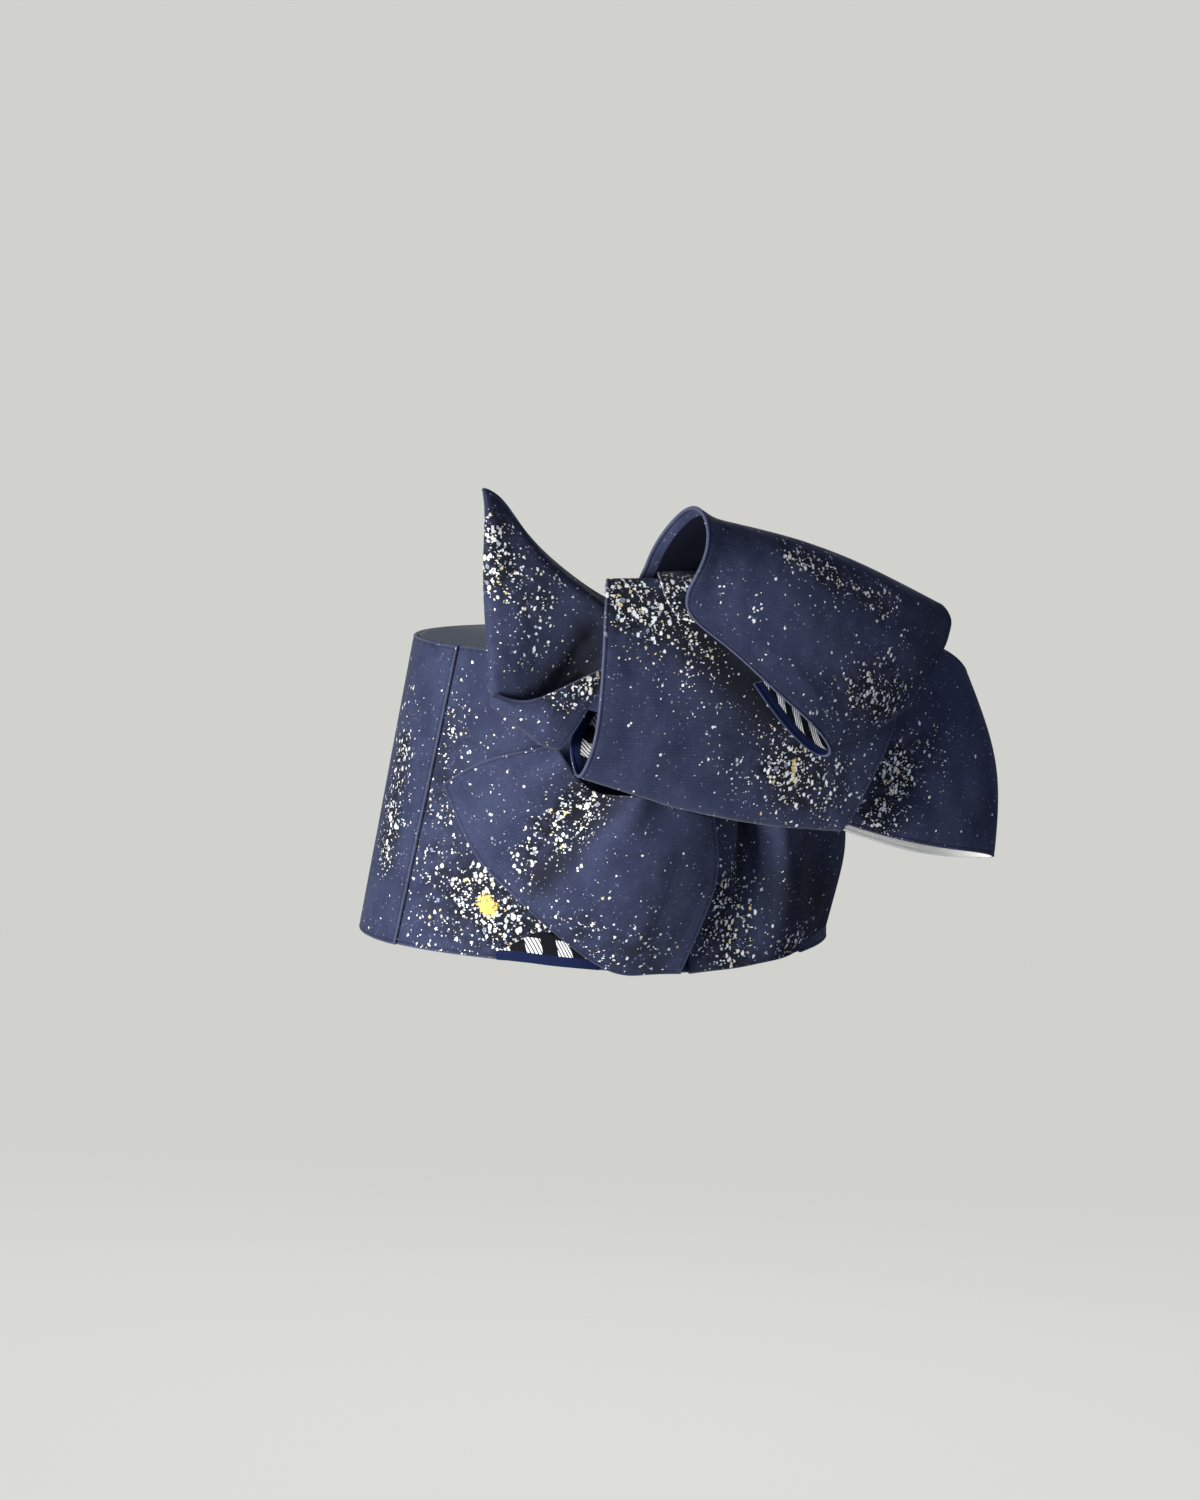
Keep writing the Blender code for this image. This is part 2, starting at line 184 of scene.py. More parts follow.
# Soft creases: name, start and end as shares (along, across) of the cloth, half width and
# depth in millimetres. A depth below nought is a trough on the outside.
CREASES = {
    "knot_wrap": (
        ("pull from the knot", (0.16, 0.52), (0.36, 0.86), 15, -1.3),
        ("sag above the fold", (0.44, 0.16), (0.50, 0.62), 12, -0.9),
        ("left of the middle", (0.20, 0.26), (0.46, 0.34), 14, 0.8),
        ("lower right pucker", (0.38, 0.74), (0.56, 0.92), 10, -1.2),
        ("short one by the hem", (0.26, 0.05), (0.40, 0.11), 6, -0.6),
        ("back leaf dent", (0.74, 0.30), (0.95, 0.62), 12, 0.8),
    ),
    "loop_upper": (
        ("slope to the right", (0.30, 0.34), (0.48, 0.80), 17, -1.4),
        ("across the front", (0.44, 0.52), (0.62, 0.84), 12, -0.9),
        ("rise beside the hem", (0.42, 0.13), (0.66, 0.22), 9, 0.7),
        ("dent under the top", (0.33, 0.16), (0.40, 0.46), 8, -0.6),
        ("gathered corner", (0.48, 0.82), (0.66, 0.95), 8, 0.9),
        ("back leaf dent", (0.08, 0.30), (0.20, 0.72), 13, 0.8),
        ("mouth's rolled edge", (0.06, -0.01), (0.36, -0.01), 8, 4.2),
    ),
    "wing_right": (
        ("beside the wrap", (0.24, 0.16), (0.27, 0.92), 11, -1.6),
        ("middle ridge", (0.33, 0.10), (0.37, 0.78), 15, 1.2),
        ("lower corner", (0.42, 0.62), (0.50, 0.95), 9, -0.9),
        ("upper corner", (0.36, 0.04), (0.47, 0.36), 9, -0.8),
        ("back leaf dent", (0.72, 0.18), (0.86, 0.80), 15, 1.0),
    ),
    "ear_left": (
        ("from the knot", (0.16, 0.34), (0.46, 0.40), 9, 0.9),
        ("hollow above the lip", (0.24, 0.78), (0.46, 0.86), 8, -1.8),
        ("near the point", (0.44, 0.10), (0.60, 0.34), 8, -0.8),
        ("left flank", (0.48, 0.46), (0.60, 0.80), 7, 0.6),
        ("sunk beside the wrap", (0.08, 0.42), (0.26, 0.82), 8, -2.2),
    ),
    "ear_lip": (
        ("along the rim", (0.16, 0.20), (0.86, 0.16), 3, 0.4),
        ("under the rim", (0.25, 0.52), (0.80, 0.42), 5, -0.6),
    ),
    "tail_left": (
        ("pinch by the upper hem", (0.10, 0.08), (0.13, 0.52), 7, -0.8),
        ("second pinch", (0.20, 0.06), (0.19, 0.74), 6, 0.7),
        ("valley floor", (0.33, 0.04), (0.30, 0.66), 7, -3.4),
        ("ridge line", (0.45, 0.22), (0.44, 0.90), 5, 2.6),
        ("lobe's flank", (0.56, 0.10), (0.54, 0.62), 9, -1.3),
        ("right flank", (0.80, 0.20), (0.84, 0.80), 8, 0.8),
        ("lower sag", (0.62, 0.84), (0.80, 0.78), 8, -0.6),
    ),
    "tail_right": (
        ("beside the slot", (0.43, 0.04), (0.45, 0.70), 6, 2.4),
        ("second fold", (0.62, 0.05), (0.60, 0.62), 8, -1.1),
        ("third fold", (0.80, 0.10), (0.76, 0.82), 9, 0.7),
    ),
    "knot_fold": (
        ("pleat", (0.30, 0.25), (0.75, 0.40), 4, -0.8),
        ("second pleat", (0.34, 0.66), (0.80, 0.74), 4, 0.5),
    ),
    "tail_turn_back": (("soft bend", (0.10, 0.30), (0.60, 0.40), 4, 0.2),),
    "band_inner": (
        ("strain below the bow", (0.045, 0.30), (0.105, 0.46), 7, -0.6),
        ("strain above it", (0.055, 0.62), (0.12, 0.58), 9, -0.7),
        ("short one", (0.10, 0.20), (0.15, 0.27), 6, -0.5),
    ),
    "band_outer": (
        ("front strain", (0.14, 0.36), (0.30, 0.44), 10, 0.7),
        ("higher strain", (0.22, 0.66), (0.36, 0.60), 9, 0.6),
        ("right side strain", (0.52, 0.30), (0.66, 0.42), 11, 0.8),
        ("right side, higher", (0.58, 0.70), (0.70, 0.62), 8, 0.6),
        ("lower front", (0.30, 0.18), (0.42, 0.14), 8, 0.5),
    ),
}

# Where the fleck print is thick: name, start and end (left, out, up), radius in millimetres,
# strength, and the radius of a yellow splash at its middle.
FLECKS = {
    "ear_left": (
        ("upper point", (147, 124, 152), (144, 130, 134), 10, 1.0, 0),
        ("trail down", (140, 130, 138), (124, 131, 118), 12, 0.55, 0),
        ("below", (144, 130, 100), (126, 130, 88), 15, 0.25, 0),
    ),
    "ear_lip": (("along the rim", (120, 153, 70), (97, 152, 78), 8, 0.9, 0),),
    "knot_wrap": (
        ("top left", (84, 154, 124), (66, 159, 112), 15, 0.95, 0),
        ("trail right", (62, 160, 118), (44, 163, 98), 12, 0.65, 0),
        ("trail down", (72, 160, 104), (30, 166, 76), 17, 0.22, 0),
        ("bottom right", (-14, 165, 34), (-28, 165, 26), 13, 1.0, 0),
        ("bottom right spread", (2, 165, 38), (-46, 162, 18), 17, 0.45, 0),
        ("yellow streak", (-21, 165, 37), (-22, 165, 25), 9, 1.0, 1.7),
    ),
    "knot_fold": (("whole fold", (60, 164, 128), (46, 170, 116), 14, 1.0, 0),),
    "loop_upper": (
        ("top streak", (2, 185, 150), (-24, 187, 139), 7, 0.85, 0),
        ("lower streak", (-24, 187, 139), (-60, 185, 124), 9, 0.55, 0),
        ("lower corner", (-46, 190, 76), (-72, 184, 70), 12, 0.85, 0),
        ("lower spread", (-30, 191, 76), (-62, 186, 88), 13, 0.4, 0),
        ("sparse middle", (34, 189, 130), (20, 191, 112), 12, 0.12, 0),
    ),
    "wing_right": (
        ("beside the wrap", (-104, 141, 26), (-97, 141, 6), 12, 1.0, 0),
        ("spread", (-118, 140, 36), (-104, 141, 2), 15, 0.4, 0),
    ),
    "tail_left": (
        ("near the knot", (72, 108, 8), (86, 97, -10), 11, 0.95, 0),
        ("trail", (86, 97, -10), (94, 90, -26), 11, 0.6, 0),
        ("bottom", (72, 106, -62), (32, 114, -78), 14, 0.42, 0),
        ("flat side", (112, 82, 6), (104, 90, -8), 10, 0.16, 0),
    ),
    "band_outer": (
        ("strip, upper", (133, 1, 22), (133, 0, -8), 9, 0.75, 0),
        ("strip, lower", (134, 0, -8), (136, 0, -34), 9, 0.8, 0),
        ("strip, top", (127, 0, 52), (130, 0, 30), 9, 0.2, 0),
        ("front, low", (40, -96, -40), (-10, -101, -24), 18, 0.8, 0),
        ("front splash", (16, -99, -34), (12, -99, -32), 9, 1.0, 5),
        ("front, high", (-50, -88, 30), (-80, -74, 48), 16, 0.5, 0),
        ("right side", (-132, -20, -20), (-128, 24, -44), 18, 0.7, 0),
        ("left of the front", (104, -62, 10), (88, -74, -20), 15, 0.45, 0),
    ),
    "band_inner": (
        ("low left", (112, 62, -50), (94, 76, -66), 16, 1.0, 0),
        ("yellow splash", (108, 64, -54), (106, 66, -57), 9, 1.0, 6),
        ("left of it", (124, 44, -32), (120, 50, -62), 15, 0.5, 0),
        ("high left", (122, 38, 36), (126, 32, -6), 15, 0.42, 0),
    ),
    "tail_right": (
        ("beside the hem", (-16, 109, -46), (-24, 107, -80), 15, 0.75, 0),
        ("trail up", (-28, 108, -26), (-20, 109, -46), 9, 0.35, 0),
        ("low right", (-64, 99, -78), (-76, 94, -74), 8, 0.75, 0),
    ),
}

# Painted shade: where the cloth is darkened nearly black with few flecks, in folds, the slot,
# hollows and ends turned from the light; beside the loop it is partly the print's own near-black.
# Name, start, end, radius, strength.
PAINTED_SHADE_PLACES = {
    "knot_wrap": (("beside the loop", (52, 162, 110), (-8, 166, 58), 12, 0.92),),
    "ear_left": (
        ("beside the wrap", (86, 128, 98), (100, 124, 74), 12, 0.75),
        ("under the crest", (122, 118, 148), (90, 122, 122), 7, 0.65),
    ),
    "tail_left": (
        ("top of the valley", (62, 118, 15), (76, 108, 0), 10, 0.95),
        ("beside the ridge", (68, 118, 6), (91, 96, -35), 8, 0.85),
    ),
    "tail_right": (
        ("slot", (-26, 106, 2), (-28, 106, -34), 4, 1.0),
        ("right end", (-66, 100, -38), (-90, 92, -56), 20, 0.95),
    ),
    "loop_upper": (("right end", (-100, 172, 112), (-98, 172, 84), 18, 0.45),),
}

# How each piece is built: its table, spacing of its mesh along and across in millimetres,
# which sides are hems (start, end, first, second), whether its outside is turned over,
# and which hem the reverse's checked border follows.
PIECES = {
    "knot_wrap": (KNOT_WRAP, 1.9, 1.9, "first second", False, "first"),
    "loop_upper": (UPPER_LOOP, 1.9, 1.9, "first second", False, "first"),
    "wing_right": (RIGHT_WING, 2.0, 1.8, "first second", True, "first"),
    "ear_left": (LEFT_EAR, 1.5, 1.5, "first second", False, "second"),
    "ear_lip": (EAR_LIP, 1.0, 1.0, "first end", True, "first"),
    "tail_left": (LEFT_TAIL, 1.5, 1.6, "start end second", True, "second"),
    "tail_right": (RIGHT_TAIL, 1.5, 1.6, "end second", True, "second"),
    "knot_fold": (KNOT_FOLD, 1.0, 1.0, "first", False, "first"),
    "tail_turn_back": (TURN_BACK, 1.0, 0.8, "first second", True, "second"),
}

# Distance from a hem and half thickness there, in millimetres: rounded edge, bead, groove.
HEM_PROFILE = (
    (0.0, 0.4), (0.3, 0.8), (0.8, 1.0), (1.3, 0.95), (1.8, 0.7), (2.3, 0.7), (3.0, 0.85), (4.0, 0.9)
)
# Places of the mesh's rows beside a hem, in millimetres from it.
HEM_STEPS = (0.0, 0.35, 0.75, 1.2, 1.7, 2.2, 2.8, 3.5, 4.5)

# Painted shade inside the upper loop: a plain near-black material covers this share of the
# loop's inside, and starts so many millimetres in from its hems.
SHADED_SHARE = 0.5
SHADE_START = 8.0

# Fleck layers: name, cell in millimetres, turn in degrees, stretch, size in cells, share of
# cells filled where the print is thick, and share filled elsewhere.
CHIPS = (
    ("specks", 1.9, (35, 70, 20), (1.0, 1.0, 1.5), 0.46, 0.62, 0.020),
    ("chips", 2.9, (60, 15, 40), (1.0, 1.35, 1.0), 0.48, 0.62, 0.010),
    ("large chips", 4.2, (20, 50, 10), (1.5, 1.0, 1.0), 0.46, 0.58, 0.002),
)
FLECK_COLOURS = (
    (0.0, "#f6f8f8"),
    (0.55, "#efe9d2"),
    (0.74, "#e2cf92"),
    (0.80, "#c3c9ce"),
    (0.92, "#868da0"),
)
# Faint specks all over and single bright dots: cell in millimetres, size, share, colour.
SPECKS = ((2.2, 0.25, 0.6, "#6b738f"), (6.5, 0.125, 0.9, "#f4f3ec"))


class ClothSettings(bpy.types.PropertyGroup):
    """Sizes of the cloth shells."""

    fineness: bpy.props.FloatProperty(
        name="Fineness", description="Mesh density, 1 for PIECES' spacing", default=1.0, min=0.3, max=1.5
    )
    crease_depth: bpy.props.FloatProperty(
        name="Crease depth", description="Scales every soft crease", default=1.0, min=0.0, max=2.0
    )
    rib_pitch: bpy.props.FloatProperty(
        name="Rib pitch",
        description="Distance between weft ribs, drawn at about twice a cotton obi's",
        default=0.0019,
        min=0.0005,
        unit="LENGTH",
        subtype="DISTANCE",
    )


class ReverseSettings(bpy.types.PropertyGroup):
    """The checked border on the reverse."""

    stripe: bpy.props.FloatProperty(
        name="Stripe", description="Width of the blue stripe at the hem", default=0.0058, unit="LENGTH"
    )
    check: bpy.props.FloatProperty(
        name="Check", description="Side of a square in the border", default=0.0086, unit="LENGTH"
    )
    line_pitch: bpy.props.FloatProperty(
        name="Line pitch", description="Spacing of the slanting lines", default=0.0021, unit="LENGTH"
    )


class StageSettings(bpy.types.PropertyGroup):
    """Floor, light and camera."""

    drop: bpy.props.FloatProperty(
        name="Floor below", description="How far the floor lies below the waist", default=1.0, unit="LENGTH"
    )
    key: bpy.props.FloatProperty(name="Key light", description="Watts of the key light", default=25.0)
    fill: bpy.props.FloatProperty(name="Fill light", description="Watts of the fill light", default=10.0)
    front: bpy.props.FloatProperty(name="Front fill", description="Watts from the front", default=22.0)
    sky: bpy.props.FloatProperty(name="Ambient", description="Strength of the world's light", default=0.20)


def linear(code):
    """Linear RGBA of an sRGB colour written as #rrggbb."""
    parts = [int(code[i : i + 2], 16) / 255 for i in (1, 3, 5)]
    return tuple(c / 12.92 if c <= 0.04045 else ((c + 0.055) / 1.055) ** 2.4 for c in parts) + (1.0,)


def add(tree, kind, inputs=None, **settings):
    """Add a node. settings are its attributes.

    inputs are values, sockets or nodes, which give their first output, by socket.
    """
    node = tree.nodes.new(kind)
    for key, value in settings.items():
        setattr(node, key, value)
    for key, value in (inputs or {}).items():
        if isinstance(value, bpy.types.Node):
            value = value.outputs[0]
        if isinstance(value, bpy.types.NodeSocket):
            tree.links.new(value, node.inputs[key])
        else:
            node.inputs[key].default_value = value
    return node


def start_material(name):
    """An empty cloth material, as (material, node tree, its shader)."""
    material = bpy.data.materials.new(name)
    material.use_nodes = True
    tree = material.node_tree
    shader = tree.nodes["Principled BSDF"]
    return material, tree, shader


def layered(tree, colour, layers):
    """A colour with layers laid over it in order, each as (how much of it shows, its colour)."""
    for amount, over in layers:
        inputs = {"Factor": amount, "A": colour, "B": over}
        colour = add(tree, "ShaderNodeMix", inputs, data_type="RGBA").outputs["Result"]
    return colour


def weave_height(tree, pitch):
    """Height of a ribbed plain weave: a sine of the length for ribs, and of the width for threads."""
    strip = add(tree, "ShaderNodeSeparateXYZ", {0: add(tree, "ShaderNodeUVMap", uv_map="Strip")})
    turns = 2 * math.pi / pitch
    along = add(tree, "ShaderNodeMath", {0: strip.outputs["Y"], 1: turns}, operation="MULTIPLY")
    ribs = add(tree, "ShaderNodeMath", {0: along}, operation="SINE")
    over = add(tree, "ShaderNodeMath", {0: strip.outputs["X"], 1: turns * 1.4}, operation="MULTIPLY")
    threads = add(tree, "ShaderNodeMath", {0: over}, operation="SINE")
    fine = add(tree, "ShaderNodeMath", {0: threads, 1: 0.4}, operation="MULTIPLY")
    return add(tree, "ShaderNodeMath", {0: ribs, 1: fine}, operation="ADD")


def spot_mask(tree, spot, chance, reach, share):
    """1 on flat spots: within reach of a Voronoi texture's points, in a share of its cells."""
    near = add(tree, "ShaderNodeMath", {0: spot.outputs["Distance"], 1: reach}, operation="LESS_THAN")
    chosen = add(tree, "ShaderNodeMath", {0: chance.outputs[0], 1: share}, operation="LESS_THAN")
    return add(tree, "ShaderNodeMath", {0: near, 1: chosen}, operation="MULTIPLY")


def ground_layers(tree, place, density, height):
    """Uneven dye, a painted highlight on the ribs' crests, and a nearly black layer: the print's darker
    cloth under thick flecks, and painted shade where the painted-shade attribute is high.
    """
    patch = add(tree, "ShaderNodeTexNoise", {"Vector": place, "Scale": 0.05, "Detail": 2.0})
    patch = add(tree, "ShaderNodeMapRange", {0: patch, 1: 0.42, 2: 0.68, 3: 0.0, 4: 0.6})
    # Painted highlight: the ribs' crests are lighter where the weave stands high.
    shade = add(tree, "ShaderNodeMapRange", {0: height, 1: -1.4, 2: 1.4, 3: 0.0, 4: 0.06})
    # Nearly black: the print's darker cloth under thick flecks, and, from the attribute read next, painted
    # shade.
    dark = add(tree, "ShaderNodeMapRange", {0: density, 1: 0.16, 2: 0.66, 3: 0.0, 4: 0.94})
    painted_shade = add(tree, "ShaderNodeAttribute", attribute_name="painted_shade").outputs["Fac"]
    dark = add(tree, "ShaderNodeMath", {0: dark, 1: painted_shade}, operation="MAXIMUM")
    return [(patch, linear("#1c213c")), (shade, linear("#6d7187")), (dark, linear("#10131b"))]


def speck_layers(tree, place):
    """The specks that lie all over, whatever the print's density."""
    layers = []
    for cell, size, share, code in SPECKS:
        spot = add(tree, "ShaderNodeTexVoronoi", {"Vector": place, "Scale": 1 / cell})
        chance = add(tree, "ShaderNodeSeparateColor", {0: spot.outputs["Color"]})
        reach = add(tree, "ShaderNodeMath", {0: chance.outputs[1], 1: size}, operation="MULTIPLY")
        layers.append((spot_mask(tree, spot, chance, reach, share), linear(code)))
    return layers


def chip_layers(tree, place, density):
    """The print's flecks: more of them, and larger, where the density is high."""
    layers = []
    for name, cell, turn, stretch, size, share, sparse in CHIPS:
        turned = {
            "Vector": place,
            "Rotation": [math.radians(a) for a in turn],
            "Scale": [s / cell for s in stretch],
        }
        mapped = add(tree, "ShaderNodeMapping", turned, label=name)
        spot = add(tree, "ShaderNodeTexVoronoi", {"Vector": mapped, "Scale": 1.0})
        chance = add(tree, "ShaderNodeSeparateColor", {0: spot.outputs["Color"]})
        reach = add(tree, "ShaderNodeMapRange", {0: chance.outputs[1], 3: size * 0.55, 4: size})
        swell = add(tree, "ShaderNodeMapRange", {0: density, 3: 0.62, 4: 1.05})
        reach = add(tree, "ShaderNodeMath", {0: reach, 1: swell}, operation="MULTIPLY")
        wanted = add(tree, "ShaderNodeMapRange", {0: density, 3: sparse, 4: share})
        tint = add(tree, "ShaderNodeValToRGB", {0: chance.outputs[2]})
        tint.color_ramp.interpolation = "CONSTANT"
        for _ in FLECK_COLOURS[2:]:
            tint.color_ramp.elements.new(1.0)
        for element, (start, code) in zip(tint.color_ramp.elements, FLECK_COLOURS):
            element.position = start
            element.color = linear(code)
        layers.append((spot_mask(tree, spot, chance, reach, wanted), tint))
    return layers


def splash_layer(tree, place):
    """The yellow splashes, with ragged edges."""
    splash = add(tree, "ShaderNodeAttribute", attribute_name="splash").outputs["Fac"]
    grain = {"Vector": place, "Scale": 0.55, "Detail": 3.0, "Roughness": 0.8}
    ragged = add(tree, "ShaderNodeTexNoise", grain)
    splash = add(tree, "ShaderNodeMath", {0: splash, 1: ragged}, operation="MULTIPLY")
    splash = add(tree, "ShaderNodeMath", {0: splash, 1: 0.36}, operation="GREATER_THAN")
    return splash, linear("#e2c56c")


def hem_layers(tree):
    """A painted highlight along each hem's rim, and a dark line 2 mm in from a hem: painted shade in the
    stitching's groove.
    """
    edge = add(tree, "ShaderNodeAttribute", attribute_name="edge").outputs["Fac"]
    # Painted highlight: the rim is lightened where a hem's edge would catch the light.
    rim = add(tree, "ShaderNodeMapRange", {0: edge, 1: 0.4, 2: 1.0, 3: 0.35, 4: 0.0})
    # Painted shade: a dark line in the groove 2 mm in from a hem.
    away = add(tree, "ShaderNodeMath", {0: edge, 1: 2.0}, operation="SUBTRACT")
    away = add(tree, "ShaderNodeMath", {0: away}, operation="ABSOLUTE")
    groove_shade = add(tree, "ShaderNodeMapRange", {0: away, 1: 0.1, 2: 0.6, 3: 0.55, 4: 0.0})
    return [(rim, linear("#666b80")), (groove_shade, linear("#10131d"))]


def face_material(settings):
    """Navy ribbed cotton with a scattered fleck print, thick where the fleck attribute is high."""
    material, tree, shader = start_material("navy_figured_cotton")
    place = add(tree, "ShaderNodeTexCoord").outputs["Object"]
    place = add(tree, "ShaderNodeVectorMath", {0: place, "Scale": 1000.0}, operation="SCALE")
    waver = add(tree, "ShaderNodeTexNoise", {"Vector": place, "Scale": 0.7, "Detail": 1.0}).outputs["Color"]
    waver = add(tree, "ShaderNodeVectorMath", {0: waver, 1: (-0.5,) * 3}, operation="ADD")
    waver = add(tree, "ShaderNodeVectorMath", {0: waver, "Scale": 1.5}, operation="SCALE")
    ragged_place = add(tree, "ShaderNodeVectorMath", {0: place, 1: waver}, operation="ADD")
    thick = add(tree, "ShaderNodeAttribute", attribute_name="fleck").outputs["Fac"]
    clump = add(tree, "ShaderNodeTexNoise", {"Vector": place, "Scale": 0.13, "Detail": 2.0})
    clump = add(tree, "ShaderNodeMapRange", {0: clump, 1: 0.34, 2: 0.62, 3: 0.45, 4: 1.2})
    density = add(tree, "ShaderNodeMath", {0: thick, 1: clump}, operation="MULTIPLY", use_clamp=True)
    height = weave_height(tree, settings.rib_pitch)
    grain = add(tree, "ShaderNodeTexNoise", {"Vector": place, "Scale": 0.55, "Detail": 4.0})
    layers = [
        (grain, linear("#3d445f")),
        *ground_layers(tree, place, density, height),
        *speck_layers(tree, ragged_place),
        *chip_layers(tree, ragged_place, density),
        splash_layer(tree, place),
        *hem_layers(tree),
    ]
    colour = layered(tree, linear("#232946"), layers)

    give = add(tree, "ShaderNodeTexNoise", {"Vector": place, "Scale": 0.035, "Detail": 2.0})
    soft = add(tree, "ShaderNodeBump", {"Height": give, "Strength": 1.0, "Distance": 0.003})
    ribs = {"Height": height, "Strength": 0.15, "Distance": 0.0001, "Normal": soft}
    bump = add(tree, "ShaderNodeBump", ribs)
    tree.links.new(colour, shader.inputs["Base Color"])
    tree.links.new(bump.outputs[0], shader.inputs["Normal"])
    shader.inputs["Roughness"].default_value = 0.82
    shader.inputs["Specular IOR Level"].default_value = 0.25
    shader.inputs["Sheen Weight"].default_value = 0.12
    shader.inputs["Sheen Roughness"].default_value = 0.45
    return material


def reverse_material(cloth, reverse):
    """Off-white cotton with a border: a blue stripe at the hem, black and lined squares, then black."""
    material, tree, shader = start_material("checked_cotton_reverse")
    strip = add(tree, "ShaderNodeSeparateXYZ", {0: add(tree, "ShaderNodeUVMap", uv_map="Strip")})
    across, along = strip.outputs["X"], strip.outputs["Y"]
    square = add(tree, "ShaderNodeMath", {0: along, 1: 2 * reverse.check}, operation="DIVIDE")
    square = add(tree, "ShaderNodeMath", {0: square}, operation="FRACT")
    white = add(tree, "ShaderNodeMath", {0: square, 1: 0.5}, operation="LESS_THAN")
    slant = add(tree, "ShaderNodeMath", {0: across, 1: 0.35}, operation="MULTIPLY")
    slant = add(tree, "ShaderNodeMath", {0: along, 1: slant}, operation="ADD")
    slant = add(tree, "ShaderNodeMath", {0: slant, 1: reverse.line_pitch}, operation="DIVIDE")
    slant = add(tree, "ShaderNodeMath", {0: slant}, operation="FRACT")
    gap = add(tree, "ShaderNodeMath", {0: slant, 1: 0.36}, operation="GREATER_THAN")
    light = add(tree, "ShaderNodeMath", {0: white, 1: gap}, operation="MULTIPLY")
    checks = layered(tree, linear("#0b0d14"), [(light, linear("#fbfbf8"))])
    border = (
        (reverse.stripe + 2 * reverse.check, linear("#0b0d14")),
        (reverse.stripe + reverse.check, checks),
        (reverse.stripe, linear("#101b40")),
    )
    layers = []
    for limit, inside in border:
        here = add(tree, "ShaderNodeMath", {0: across, 1: limit}, operation="LESS_THAN")
        layers.append((here, inside))
    colour = layered(tree, linear("#e4e4dc"), layers)
    height = weave_height(tree, cloth.rib_pitch)
    bump = add(tree, "ShaderNodeBump", {"Height": height, "Strength": 0.3, "Distance": 0.0001})
    tree.links.new(colour, shader.inputs["Base Color"])
    tree.links.new(bump.outputs[0], shader.inputs["Normal"])
    shader.inputs["Roughness"].default_value = 0.85
    shader.inputs["Specular IOR Level"].default_value = 0.2
    return material


def loop_shade_material():
    """Plain near-black navy: painted shade on the inside of the upper loop, where shade falls."""
    material, _, shader = start_material("painted_shade_loop_inside")
    shader.inputs["Base Color"].default_value = linear("#0b0e1c")
    shader.inputs["Roughness"].default_value = 0.9
    shader.inputs["Specular IOR Level"].default_value = 0.15
    return material


def floor_material():
    """Matt paper, which glows a little so that the lamps leave no bright edge on it."""
    material, _, shader = start_material("studio_paper")
    shader.inputs["Base Color"].default_value = linear("#82827e")
    shader.inputs["Emission Color"].default_value = linear("#d2d2cc")
    shader.inputs["Emission Strength"].default_value = 0.95
    shader.inputs["Roughness"].default_value = 0.9
    shader.inputs["Specular IOR Level"].default_value = 0.1
    return material


def material_named(name, make, *arguments):
    """The material of that name, made on first use."""
    return bpy.data.materials.get(name) or make(*arguments)


def spline(points, shares):
    """The natural cubic spline through rows of points, at shares from 0 to 1 of its parameter.

    Every column has the same parameter, whose steps are the root of the mean distance
    between neighbouring rows, which keeps tight folds from overshooting.
    """
    points = np.asarray(points, float)
    steps = np.sqrt(np.linalg.norm(np.diff(points, axis=0), axis=2).mean(axis=1))
    knots = np.concatenate([[0.0], np.cumsum(steps)])
    size = len(knots)
    inner = np.arange(1, size - 1)
    system = np.eye(size)
    system[inner, inner - 1] = steps[:-1]
    system[inner, inner] = 2 * (steps[:-1] + steps[1:])
    system[inner, inner + 1] = steps[1:]
    slopes = np.diff(points, axis=0) / steps[:, None, None]
    right = np.zeros_like(points)
    right[1:-1] = 6 * np.diff(slopes, axis=0)
    bend = np.linalg.solve(system, right.reshape(size, -1)).reshape(points.shape)
    at = np.asarray(shares) * knots[-1]
    span = np.clip(np.searchsorted(knots, at, side="right") - 1, 0, size - 2)
    width = steps[span][:, None, None]
    b = (at - knots[span])[:, None, None] / width
    a = 1.0 - b
    curve = a * points[span] + b * points[span + 1]
    return curve + ((a**3 - a) * bend[span] + (b**3 - b) * bend[span + 1]) * width**2 / 6


def hem_shares(length, step, at_start, at_end):
    """Shares from 0 to 1 of a length in millimetres, evenly spaced but crowded beside hems."""
    start = np.array(HEM_STEPS if at_start else (0.0,))
    end = length - np.array(HEM_STEPS if at_end else (0.0,))[::-1]
    count = max(int((end[0] - start[-1]) / step), 3)
    middle = np.linspace(start[-1], end[0], count + 1)[1:-1]
    return np.concatenate([start, middle, end]) / length


def lengths(points, axis):
    """Distance in millimetres along one axis of a grid of points, from its start."""
    steps = np.linalg.norm(np.diff(points, axis=axis), axis=2) / MM
    first = np.zeros_like(steps[:1] if axis == 0 else steps[:, :1])
    return np.concatenate([first, np.cumsum(steps, axis=axis)], axis=axis)


def normals_of(points, ring=False):
    """Unit normals of a grid: the cross product of its two gradients."""
    if ring:
        padded = np.concatenate([points[-1:], points, points[:1]])
        along = (padded[2:] - padded[:-2]) / 2
    else:
        along = np.gradient(points, axis=0)
    cross = np.cross(along, np.gradient(points, axis=1))
    return cross / np.maximum(np.linalg.norm(cross, axis=2, keepdims=True), 1e-12)


